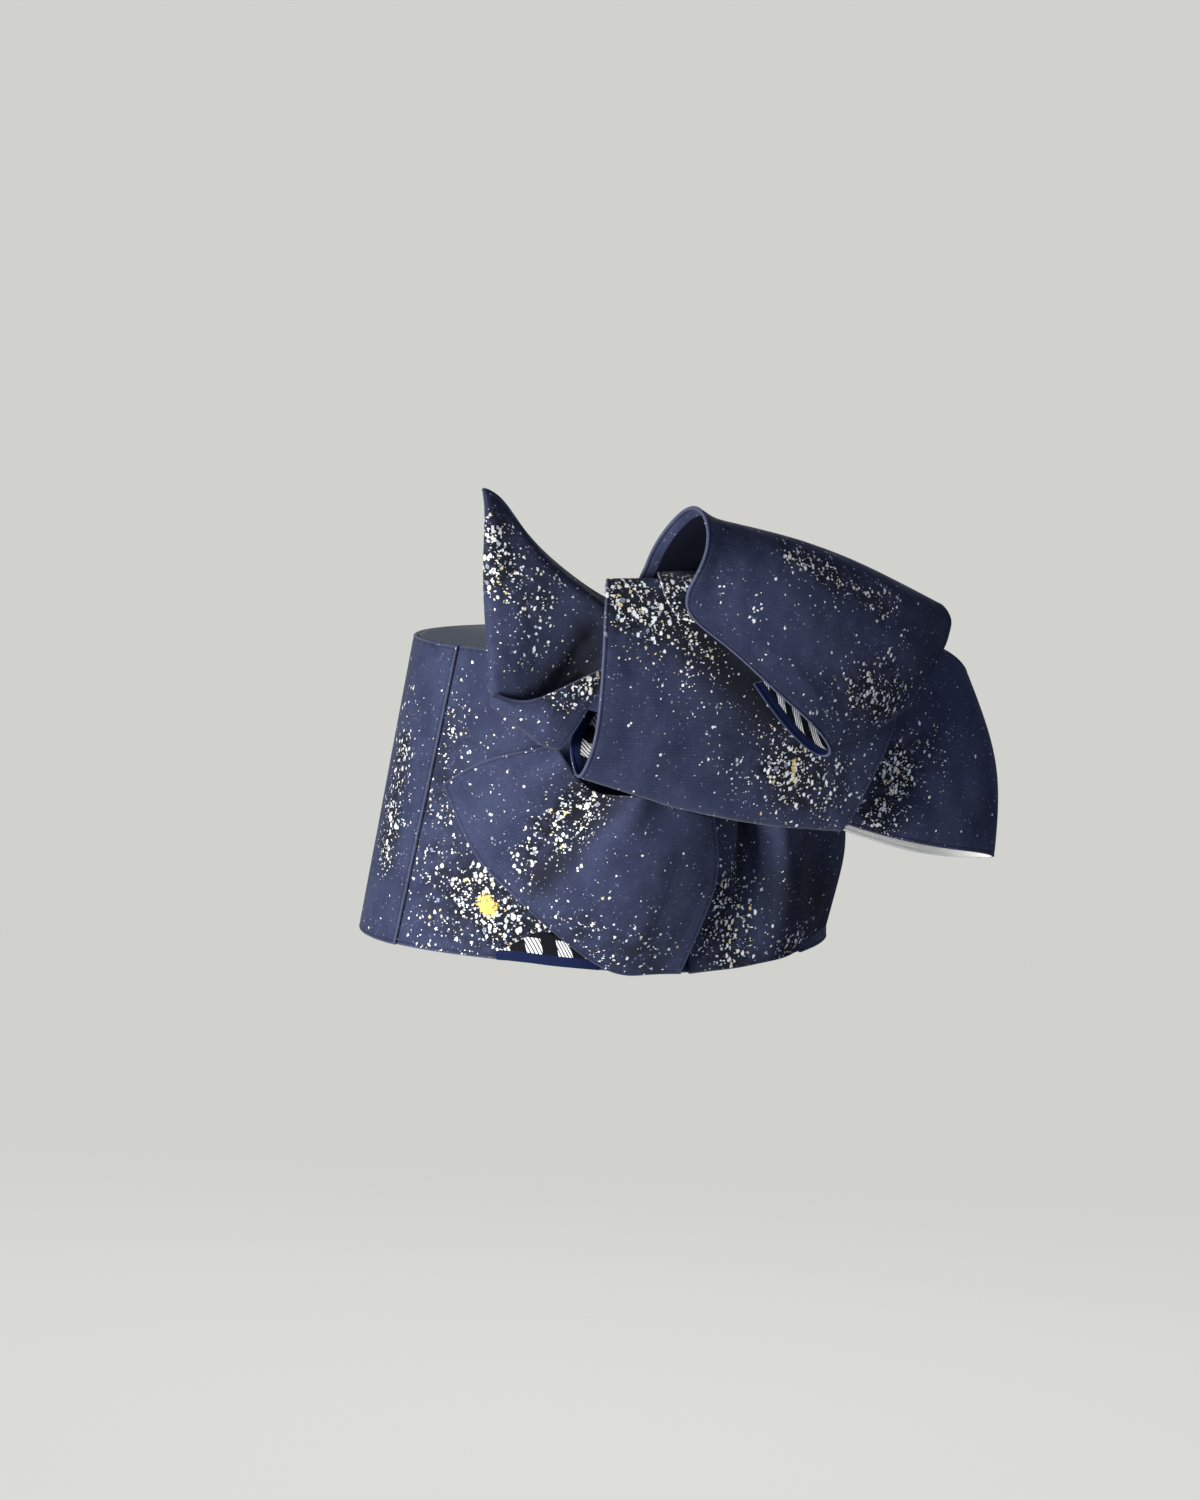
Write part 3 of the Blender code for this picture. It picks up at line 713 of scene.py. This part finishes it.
def creased(name, points, along, across, depth, ring=False):
    """Points moved along their normals by the piece's soft creases.

    A crease is a segment in the flat cloth. Its height falls off with distance as a bell
    curve, and fades towards both ends. A slow wave keeps it from running dead straight.
    """
    size = np.array([along[-1].mean(), across[:, -1].mean()])
    flat = np.stack([along / along[-1:] * size[0], across / across[:, -1:] * size[1]], axis=2)
    flat = flat + 1.6 * np.sin(flat[:, :, ::-1] / 17.0)
    height = np.zeros(along.shape)
    for _, start, end, width, amount in CREASES.get(name, ()):
        first = np.array(start) * size
        run = np.array(end) * size - first
        share = np.clip(((flat - first) @ run) / (run @ run), 0, 1)
        away = np.linalg.norm(flat - first - share[:, :, None] * run, axis=2)
        fade = 1 - 0.75 * (2 * share - 1) ** 4
        height += amount * fade * np.exp(-((away / width) ** 2))
    return points + normals_of(points, ring) * height[:, :, None] * MM * depth


def bell_round(points, start, end, radius):
    """A bell curve of each point's distance from a segment, 1 on it. Places are in millimetres."""
    first = np.array(start, float)
    run = np.array(end, float) - first
    offset = points / MM - first
    share = np.clip((offset @ run) / (run @ run), 0, 1)
    away = np.linalg.norm(offset - share[:, :, None] * run, axis=2)
    return np.exp(-((away / radius) ** 2) / 2)


def print_strength(points, name):
    """Strength of the flecks, the yellow splash and the painted shade at each point of a piece."""
    strength, splash, painted_shade = np.zeros((3, *points.shape[:2]))
    for _, start, end, radius, amount, yellow in FLECKS.get(name, ()):
        strength = np.maximum(strength, amount * bell_round(points, start, end, radius))
        if yellow:
            splash = np.maximum(splash, bell_round(points, start, end, yellow))
    # Painted shade: folds, the slot, hollows and far ends darkened nearly black.
    for _, start, end, radius, amount in PAINTED_SHADE_PLACES.get(name, ()):
        painted_shade = np.maximum(painted_shade, amount * bell_round(points, start, end, radius))
    return {"fleck": strength, "splash": splash, "painted_shade": painted_shade}


def mesh_object(name, verts, faces, *materials):
    """A smooth mesh object in the scene, from its vertices and the list of its faces."""
    mesh = bpy.data.meshes.new(name)
    mesh.from_pydata(verts, [], faces)
    for material in materials:
        mesh.materials.append(material)
    mesh.shade_smooth()
    obj = bpy.data.objects.new(name, mesh)
    bpy.context.scene.collection.objects.link(obj)
    return obj


def add_values(mesh, name, values):
    """Give each vertex a number, for the material to read by that name."""
    layer = mesh.attributes.new(name, "FLOAT", "POINT")
    layer.data.foreach_set("value", np.asarray(values, np.float32).ravel())


def shell_faces(rows, columns, ring):
    """Quads of a closed shell, and the side that each is on: 0 outside, 1 inside.

    The outside grid comes first, then the inside one. The rim joins their borders.
    """
    index = np.arange(rows * columns).reshape(rows, columns)
    grid = np.concatenate([index, index[:1]]) if ring else index
    quads = np.stack([grid[:-1, :-1], grid[1:, :-1], grid[1:, 1:], grid[:-1, 1:]], axis=-1).reshape(-1, 4)
    if ring:
        loops = [grid[:, -1], grid[::-1, 0]]
    else:
        loops = [np.concatenate([grid[0, :-1], grid[:-1, -1], grid[-1, :0:-1], grid[::-1, 0]])]
    far = rows * columns
    rims = [np.stack([loop[:-1], loop[1:], loop[1:] + far, loop[:-1] + far], axis=-1) for loop in loops]
    faces = np.concatenate([quads, quads[:, ::-1] + far, *rims])
    sides = np.zeros(len(faces), int)
    sides[len(quads) : 2 * len(quads)] = 1
    return faces, sides


def cloth_shell(context, name, points, hems, turned, border, ring=False):
    """A closed cloth wall on a grid of points.

    The wall's half thickness follows the hem profile by distance from the nearest hem, and
    its two faces lie that far along the normals to each side.
    """
    settings = context.scene.obi_cloth
    along, across = lengths(points, 0), lengths(points, 1)
    points = creased(name, points, along, across, settings.crease_depth, ring)
    sides = {
        "start": along,
        "end": along[-1:] - along,
        "first": across,
        "second": across[:, -1:] - across,
    }
    edge = np.min([sides[hem] for hem in hems.split()], axis=0)
    half = np.interp(edge, *zip(*HEM_PROFILE)) * MM
    uv = np.stack([sides[border], along], axis=2) * MM
    if turned:
        points, edge, half, uv = points[::-1], edge[::-1], half[::-1], uv[::-1]
    normals = normals_of(points, ring)
    outside = points + normals * half[:, :, None]
    inside = points - normals * half[:, :, None]
    faces, side = shell_faces(*points.shape[:2], ring)
    attributes = {"edge": edge, **print_strength(points, name)}
    face = material_named("navy_figured_cotton", face_material, settings)
    back = material_named("checked_cotton_reverse", reverse_material, settings, context.scene.obi_reverse)
    shown = (back, face) if name == "tail_turn_back" else (face, back)
    # Painted shade: inside faces in the loop's first share, away from the hems, take the plain near-black
    # material.
    if name == "loop_upper":
        shown = (face, back, material_named("painted_shade_loop_inside", loop_shade_material))
        middle = faces[:, 0] % edge.size
        shaded_inside = (side == 1) & (middle // edge.shape[1] < SHADED_SHARE * edge.shape[0])
        side[shaded_inside] = np.where(edge.ravel()[middle] > SHADE_START, 2, 0)[shaded_inside]
    verts = np.concatenate([outside.reshape(-1, 3), inside.reshape(-1, 3)])
    obj = mesh_object(name + "_cloth", verts, faces.tolist(), *shown)
    mesh = obj.data
    mesh.polygons.foreach_set("material_index", side.astype(np.int32))
    corner = np.empty(len(mesh.loops), np.int32)
    mesh.loops.foreach_get("vertex_index", corner)
    strip = np.tile(uv.reshape(-1, 2), (2, 1))[corner].astype(np.float32)
    mesh.uv_layers.new(name="Strip").data.foreach_set("uv", strip.ravel())
    for key, values in attributes.items():
        add_values(mesh, key, np.tile(values.ravel(), 2))
    mesh.validate()
    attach(obj, "root")
    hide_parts(name)
    return obj


def fold_piece(context, name):
    """One stretch of the bow: a spline through its sections, then a spline across each."""
    table, step_along, step_across, hems, turned, border = PIECES[name]
    fineness = context.scene.obi_cloth.fineness
    sections = np.array([row[1:] for row in table], float) * MM
    ends = lengths(sections, 0)[-1].mean()
    width = lengths(sections, 1)[:, -1].max()
    rows = hem_shares(ends, step_along / fineness, "start" in hems, "end" in hems)
    columns = hem_shares(width, step_across / fineness, "first" in hems, "second" in hems)
    lengthwise = spline(sections, rows)
    points = spline(lengthwise.transpose(1, 0, 2), columns).transpose(1, 0, 2)
    return cloth_shell(context, name, points, hems, turned, border)


def band_points(angles, heights, layer):
    """Part of the wound band: an oval cone round the waist, layer metres out from the first turn.

    angles and heights are grids. The lower hem dips a little behind, where the bow weighs on it.
    """
    half_x = LOWER_WAIST[0] + (UPPER_WAIST[0] - LOWER_WAIST[0]) * heights + layer
    half_y = LOWER_WAIST[1] + (UPPER_WAIST[1] - LOWER_WAIST[1]) * heights + layer
    behind = np.maximum(np.sin(angles), 0.0) ** DIP_SHARPNESS
    up = LOWEST_HEM + SASH_WIDTH * heights - HEM_DIP * behind * (1 - heights)
    return np.stack([half_x * np.cos(angles), half_y * np.sin(angles) + UPPER_SHIFT * heights, up], axis=2)


def knot_bundle(context):
    """The tight bundle behind the bow: a superellipsoid with slanting pleats pressed into it.

    Each pleat lowers the surface as the root of a sine of a slanting coordinate.
    """
    lat = np.linspace(-math.pi / 2, math.pi / 2, KNOT_RINGS + 2)[1:-1, None]
    lon = np.linspace(0, 2 * math.pi, KNOT_AROUND, endpoint=False)[None, :]
    ball = np.stack([np.cos(lat) * np.cos(lon), np.cos(lat) * np.sin(lon), np.sin(lat) + 0 * lon], axis=2)
    poles = np.array([[0, 0, -1.0], [0, 0, 1.0]])
    ball = np.concatenate([ball.reshape(-1, 3), poles])
    ball /= (np.abs(ball) ** KNOT_SQUARENESS).sum(axis=1, keepdims=True) ** (1 / KNOT_SQUARENESS)
    slanting = ball @ np.array([0.9, 0.5, 2.6]) * 2.4
    ball *= (1 - 0.07 * (1 - np.abs(np.sin(slanting)) ** 0.5))[:, None]
    verts = np.array(KNOT_CENTRE) + ball * np.array(KNOT_HALF)
    index = np.arange(KNOT_RINGS * KNOT_AROUND).reshape(KNOT_RINGS, KNOT_AROUND)
    ahead = np.roll(index, -1, axis=1)
    quads = np.stack([index[:-1], ahead[:-1], ahead[1:], index[1:]], axis=-1).reshape(-1, 4)
    south = np.stack([ahead[0], index[0], np.full(KNOT_AROUND, index.size)], axis=-1)
    north = np.stack([index[-1], ahead[-1], np.full(KNOT_AROUND, index.size + 1)], axis=-1)
    face = material_named("navy_figured_cotton", face_material, context.scene.obi_cloth)
    obj = mesh_object("knot_bundle", verts, quads.tolist() + south.tolist() + north.tolist(), face)
    obj.data.uv_layers.new(name="Strip")
    add_values(obj.data, "edge", np.full(len(verts), FAR_FROM_HEM))
    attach(obj, "root")
    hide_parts("knot")


def studio_floor(drop):
    """A round floor that sweeps up into a wall: a profile of radius and height turned round +Z."""
    turn = np.linspace(0, math.pi / 2, 24)
    radius = np.concatenate([[0.0, 2.0, 4.0], 5.5 + 3.0 * np.sin(turn), [8.5]])
    height = np.concatenate([[0.0, 0.0, 0.0], 3.0 * (1 - np.cos(turn)), [9.0]]) - drop
    angle = np.linspace(0, 2 * math.pi, FLOOR_AROUND + 1)[:-1, None]
    grid = np.stack([radius * np.cos(angle), radius * np.sin(angle), height + 0 * angle], axis=2)
    index = np.arange(FLOOR_AROUND * len(radius)).reshape(FLOOR_AROUND, -1)
    ahead = np.roll(index, -1, axis=0)
    quads = np.stack([index[:, :-1], index[:, 1:], ahead[:, 1:], ahead[:, :-1]], axis=-1).reshape(-1, 4)
    floor = mesh_object("studio_floor", grid.reshape(-1, 3), quads.tolist(), floor_material())
    # The paper is only a backdrop: it neither blocks the lamps nor throws light on the cloth.
    floor.visible_diffuse = False
    floor.visible_glossy = False
    floor.visible_shadow = False


def add_light(name, watts, towards, distance, size):
    """A square lamp shining at the origin from the direction towards, so many metres away."""
    lamp = bpy.data.lights.new(name, "AREA")
    lamp.energy = watts
    lamp.size = size
    obj = bpy.data.objects.new(name, lamp)
    direction = Vector(towards).normalized()
    obj.location = direction * distance
    obj.rotation_mode = "QUATERNION"
    obj.rotation_quaternion = direction.to_track_quat("Z", "Y")
    obj.visible_camera = False
    bpy.context.scene.collection.objects.link(obj)


def add_camera():
    """A long lens behind the wearer's left shoulder, tilted a little out of level."""
    azimuth, elevation, roll = [math.radians(angle) for angle in VIEW_TURN]
    level = math.cos(elevation)
    back = Vector((math.sin(azimuth) * level, -math.cos(azimuth) * level, math.sin(elevation)))
    right = Vector((math.cos(azimuth), math.sin(azimuth), 0.0))
    up = right.cross(-back)
    target = right * VIEW_AIM[0] + Vector((0.0, 0.0, VIEW_AIM[1]))
    tilted_right = math.cos(roll) * right + math.sin(roll) * up
    tilted_up = -math.sin(roll) * right + math.cos(roll) * up
    camera = bpy.data.cameras.new("camera")
    camera.lens = VIEW_LENS
    camera.sensor_width = 36.0
    obj = bpy.data.objects.new("camera", camera)
    obj.matrix_world = Matrix.Translation(target + back * VIEW_DISTANCE) @ Matrix(
        (tilted_right, tilted_up, back)
    ).transposed().to_4x4()
    bpy.context.scene.collection.objects.link(obj)
    bpy.context.scene.camera = obj
    return right, up, back


class OBI_OT_wind_band(bpy.types.Operator):
    """Wind the first turn round the waist and the outer turn over it"""

    bl_idname = "obi.wind_band"
    bl_label = "Wind band"

    def execute(self, context):
        fineness = context.scene.obi_cloth.fineness
        columns = hem_shares(SASH_WIDTH / MM, BAND_STEP_UP / fineness, True, True)
        whole = np.linspace(0.0, 2 * math.pi, int(FIRST_TURN_ROWS * fineness), endpoint=False)
        angles, heights = np.meshgrid(whole, columns, indexing="ij")
        points = band_points(angles, heights, CLOTH / 2)
        cloth_shell(context, "band_inner", points, "first second", False, "first", ring=True)
        rows = hem_shares(OUTER_LENGTH, OUTER_STEP / fineness, True, False)
        part = np.radians(OUTER_START_DEG + (OUTER_END_DEG - OUTER_START_DEG) * rows)
        angles, heights = np.meshgrid(part, columns, indexing="ij")
        angles = angles + math.radians(OUTER_LEAN_DEG) * (1 - rows[:, None]) * heights
        points = band_points(angles, heights, 1.5 * CLOTH + LAYER_GAP)
        cloth_shell(context, "band_outer", points, "start first second", True, "first")
        return {"FINISHED"}


class OBI_OT_tie_knot(bpy.types.Operator):
    """Make the knot's bundle and the small fold that shows above it"""

    bl_idname = "obi.tie_knot"
    bl_label = "Tie knot"

    def execute(self, context):
        knot_bundle(context)
        fold_piece(context, "knot_fold")
        return {"FINISHED"}


class OBI_OT_fold_wrap(bpy.types.Operator):
    """Fold the broad leaf that wraps over the knot"""

    bl_idname = "obi.fold_wrap"
    bl_label = "Fold wrap"

    def execute(self, context):
        fold_piece(context, "knot_wrap")
        return {"FINISHED"}


class OBI_OT_fold_loop(bpy.types.Operator):
    """Fold the upper loop, open on its left"""

    bl_idname = "obi.fold_loop"
    bl_label = "Fold upper loop"

    def execute(self, context):
        fold_piece(context, "loop_upper")
        return {"FINISHED"}


class OBI_OT_fold_wing(bpy.types.Operator):
    """Fold the wing on the wearer's right"""

    bl_idname = "obi.fold_wing"
    bl_label = "Fold right wing"

    def execute(self, context):
        fold_piece(context, "wing_right")
        return {"FINISHED"}


class OBI_OT_fold_ear(bpy.types.Operator):
    """Fold the pointed ear on the wearer's left and the lip below it"""

    bl_idname = "obi.fold_ear"
    bl_label = "Fold left ear"

    def execute(self, context):
        fold_piece(context, "ear_left")
        fold_piece(context, "ear_lip")
        return {"FINISHED"}


class OBI_OT_drape_tails(bpy.types.Operator):
    """Drape the two tails over the band, with the left one's turned-back hem"""

    bl_idname = "obi.drape_tails"
    bl_label = "Drape tails"

    def execute(self, context):
        fold_piece(context, "tail_left")
        fold_piece(context, "tail_right")
        fold_piece(context, "tail_turn_back")
        return {"FINISHED"}


class OBI_OT_set_stage(bpy.types.Operator):
    """Set the floor, the lights and the camera"""

    bl_idname = "obi.set_stage"
    bl_label = "Set stage"

    def execute(self, context):
        stage = context.scene.obi_stage
        studio_floor(stage.drop)
        right, up, back = add_camera()
        add_light("key", stage.key, back - right * 0.75 - up * 0.12, distance=1.3, size=0.4)
        add_light("fill", stage.fill, back + right * 0.55 - up * 0.3, distance=2.6, size=1.6)
        add_light("front fill", stage.front, up * 0.5 - back, distance=2.8, size=1.8)
        world = bpy.data.worlds.new("studio")
        world.use_nodes = True
        sky = world.node_tree.nodes["Background"]
        sky.inputs["Color"].default_value = linear("#b9c8f4")
        sky.inputs["Strength"].default_value = stage.sky
        context.scene.world = world
        context.scene.view_settings.view_transform = "Standard"
        return {"FINISHED"}


class OBI_PT_panel(bpy.types.Panel):
    """The build steps and their settings"""

    bl_label = "Obi sash"
    bl_idname = "OBI_PT_panel"
    bl_space_type = "VIEW_3D"
    bl_region_type = "UI"
    bl_category = "Obi"

    def draw(self, context):
        for group in (context.scene.obi_cloth, context.scene.obi_reverse, context.scene.obi_stage):
            for key in group.bl_rna.properties.keys():
                if key not in ("rna_type", "name"):
                    self.layout.prop(group, key)
        for operator in OPERATORS:
            self.layout.operator(operator.bl_idname)


OPERATORS = (
    OBI_OT_wind_band,
    OBI_OT_tie_knot,
    OBI_OT_fold_wrap,
    OBI_OT_fold_loop,
    OBI_OT_fold_wing,
    OBI_OT_fold_ear,
    OBI_OT_drape_tails,
    OBI_OT_set_stage,
)
GROUPS = {"obi_cloth": ClothSettings, "obi_reverse": ReverseSettings, "obi_stage": StageSettings}


def register():
    """Register the classes and hang the settings on the scene."""
    for cls in (*GROUPS.values(), *OPERATORS, OBI_PT_panel):
        bpy.utils.register_class(cls)
    for key, cls in GROUPS.items():
        setattr(bpy.types.Scene, key, bpy.props.PointerProperty(type=cls))


def unregister():
    """Undo register."""
    for key in GROUPS:
        delattr(bpy.types.Scene, key)
    for cls in (OBI_PT_panel, *reversed(OPERATORS), *GROUPS.values()):
        bpy.utils.unregister_class(cls)


def main():
    """Build every piece in order."""
    register()
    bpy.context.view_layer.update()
    bpy.ops.obi.wind_band()
    bpy.ops.obi.tie_knot()
    bpy.ops.obi.fold_wrap()
    bpy.ops.obi.fold_loop()
    bpy.ops.obi.fold_wing()
    bpy.ops.obi.fold_ear()
    bpy.ops.obi.drape_tails()
    bpy.ops.obi.set_stage()


if __name__ == "__main__":
    main()
